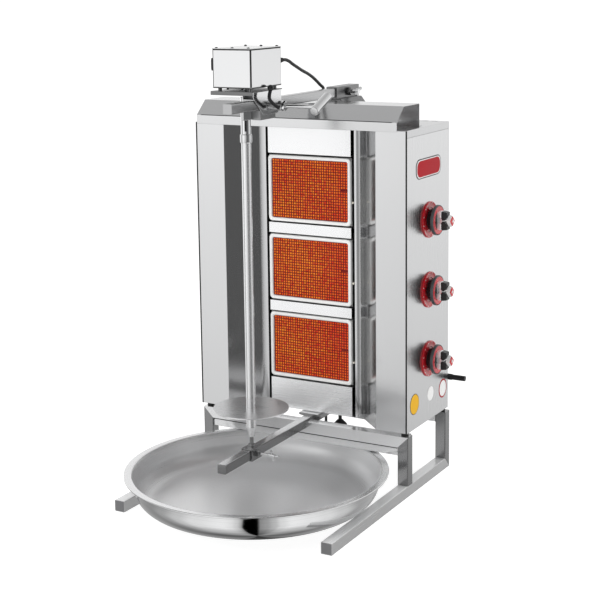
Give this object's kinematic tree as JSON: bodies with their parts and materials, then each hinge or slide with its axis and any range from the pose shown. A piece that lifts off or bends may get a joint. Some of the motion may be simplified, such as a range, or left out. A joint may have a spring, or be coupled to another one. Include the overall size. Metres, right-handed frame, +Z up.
{
  "type": "rotisserie oven",
  "caption": "Upright gas rotisserie with stacked ceramic burners between angled wings, a motor-driven vertical spit on sliding arms, and a round drip pan on a tube stand.",
  "frame": {"origin": "centre of the footprint of everything but the cord, on the surface it stands on", "axes": "+X to the right seen from the front (the knob side), +Y to the back, +Z up"},
  "size_m": [0.596, 0.8325, 0.9768],
  "materials": {
    "stand_steel": "satin",
    "panel_steel": "satin",
    "polished_steel": "polished stainless",
    "bright_steel": "bright satin",
    "carriage_steel": "satin",
    "burner_steel": "plain",
    "channel_steel": "matt black heat-proof paint",
    "fastener_steel": "plain",
    "pan_steel": "polished outside, satin inside",
    "chrome": "bright",
    "dark_steel": "black oxide",
    "gear_housing": "painted casting",
    "brass": "machined",
    "copper_pipe": "drawn copper",
    "white_enamel": "gloss enamel",
    "glowing_ceramic": "perforated, glowing",
    "probe_ceramic": "glazed",
    "black_rubber": "matt",
    "red_plastic": "gloss",
    "knob_plastic": "gloss",
    "badge_red": "gloss with a pale border",
    "sticker_yellow": "printed film, no wording",
    "sticker_white": "printed film, no wording",
    "cord_black": "matt"
  },
  "bodies": {
    "chassis": {"rails": "stand_steel", "legs": "stand_steel", "front_crossbar": "stand_steel", "lower_crossbar": "stand_steel", "rear_crossbar": "stand_steel", "cabinet_spacers": "black_rubber", "cabinet_bolts": "fastener_steel", "centre_foot": "black_rubber", "side_panel_left": "panel_steel", "side_panel_right": "panel_steel", "wing_left": "polished_steel", "wing_right": "polished_steel", "back_panel": "panel_steel", "bottom_plate": "panel_steel", "top_plate": "panel_steel", "hood": "polished_steel", "burner_channel": "channel_steel", "column_panels": "panel_steel", "burner_frames": "white_enamel", "ceramic_tiles": "glowing_ceramic", "burner_boxes": "burner_steel", "flame_probes": "probe_ceramic", "gas_manifold": "brass", "valve_bodies": "brass", "burner_pipes": "copper_pipe", "gas_inlet": "dark_steel", "knob_bezels": "red_plastic", "blank_badge": "badge_red", "yellow_sticker": "sticker_yellow", "white_stickers": "sticker_white", "upper_arm": "bright_steel", "arm_sleeve": "carriage_steel", "arm_pedestal": "carriage_steel", "lower_arm": "stand_steel", "power_cord": "cord_black", "cord_coil": "cord_black", "mains_plug": "cord_black"},
    "carriage": {"carriage_bracket": "bright_steel", "carriage_block": "carriage_steel", "motor_tray": "carriage_steel", "motor_base": "carriage_steel", "motor_cover": "polished_steel", "gearmotor": "gear_housing", "cord_gland": "cord_black"},
    "handle_screw": {"carriage_screw": "bright_steel"},
    "lever": {"release_lever": "chrome"},
    "spit_train": {"drive_shaft": "chrome", "spit": "bright_steel", "meat_disc": "bright_steel"},
    "coupler_sleeve": {"coupler": "chrome"},
    "wing_screw": {"sleeve_screw": "chrome"},
    "pivot_clamp": {"lower_clamp": "bright_steel"},
    "pivot_screw": {"clamp_screw": "chrome"},
    "plug_lower": {"valve_plug_lower": "brass"},
    "plug_middle": {"valve_plug_middle": "brass"},
    "plug_upper": {"valve_plug_upper": "brass"},
    "knob_body_lower": {"knob_lower": "knob_plastic"},
    "knob_body_middle": {"knob_middle": "knob_plastic"},
    "knob_body_upper": {"knob_upper": "knob_plastic"},
    "pan": {"drip_pan": "pan_steel"}
  },
  "joints": [
    {"name": "carriage_slide", "type": "slide", "parent": "chassis", "child": "carriage", "axis": [0, 1, 0], "range_m": [-0.06, 0.08], "deforming": ["power_cord"]},
    {"name": "handle_screw_turn", "type": "hinge", "parent": "carriage", "child": "handle_screw", "pos_m": [0.072, -0.0485, 0.855], "axis": [1, 0, 0], "range_deg": [0, 270]},
    {"name": "release_lever_turn", "type": "hinge", "parent": "carriage", "child": "lever", "pos_m": [0.037, -0.0485, 0.855], "axis": [1, 0, 0], "range_deg": [0, 70]},
    {"name": "spit_spin", "type": "hinge", "parent": "carriage", "child": "spit_train", "pos_m": [-0.018, -0.0965, 0.5], "axis": [0, 0, 1], "continuous": true},
    {"name": "coupler_lift", "type": "slide", "parent": "spit_train", "child": "coupler_sleeve", "axis": [0, 0, 1], "range_m": [0, 0.018]},
    {"name": "sleeve_screw_turn", "type": "hinge", "parent": "chassis", "child": "wing_screw", "pos_m": [0.032, 0.2855, 0.86], "axis": [1, 0, 0], "range_deg": [0, 270]},
    {"name": "clamp_slide", "type": "slide", "parent": "chassis", "child": "pivot_clamp", "axis": [0, 1, 0], "range_m": [-0.06, 0.08]},
    {"name": "clamp_screw_turn", "type": "hinge", "parent": "pivot_clamp", "child": "pivot_screw", "pos_m": [0.022, -0.0965, 0.129], "axis": [1, 0, 0], "range_deg": [0, 270]},
    {"name": "valve_lower_turn", "type": "hinge", "parent": "chassis", "child": "plug_lower", "pos_m": [0.202, 0.2305, 0.284], "axis": [1, 0, 0], "range_deg": [0, 180]},
    {"name": "knob_lower_press", "type": "slide", "parent": "plug_lower", "child": "knob_body_lower", "axis": [-1, 0, 0], "range_m": [0, 0.003], "stiffness_N_per_m": 800, "springref_m": -0.002},
    {"name": "valve_middle_turn", "type": "hinge", "parent": "chassis", "child": "plug_middle", "pos_m": [0.202, 0.2305, 0.4385], "axis": [1, 0, 0], "range_deg": [0, 180]},
    {"name": "knob_middle_press", "type": "slide", "parent": "plug_middle", "child": "knob_body_middle", "axis": [-1, 0, 0], "range_m": [0, 0.003], "stiffness_N_per_m": 800, "springref_m": -0.002},
    {"name": "valve_upper_turn", "type": "hinge", "parent": "chassis", "child": "plug_upper", "pos_m": [0.202, 0.2305, 0.593], "axis": [1, 0, 0], "range_deg": [0, 180]},
    {"name": "knob_upper_press", "type": "slide", "parent": "plug_upper", "child": "knob_body_upper", "axis": [-1, 0, 0], "range_m": [0, 0.003], "stiffness_N_per_m": 800, "springref_m": -0.002},
    {"name": "pan_slide", "type": "slide", "parent": "chassis", "child": "pan", "axis": [0, -1, 0], "range_m": [0, 0.14]}
  ],
  "couplings": [
    {"joint": "clamp_slide", "follows": "carriage_slide", "ratio": 1}
  ]
}
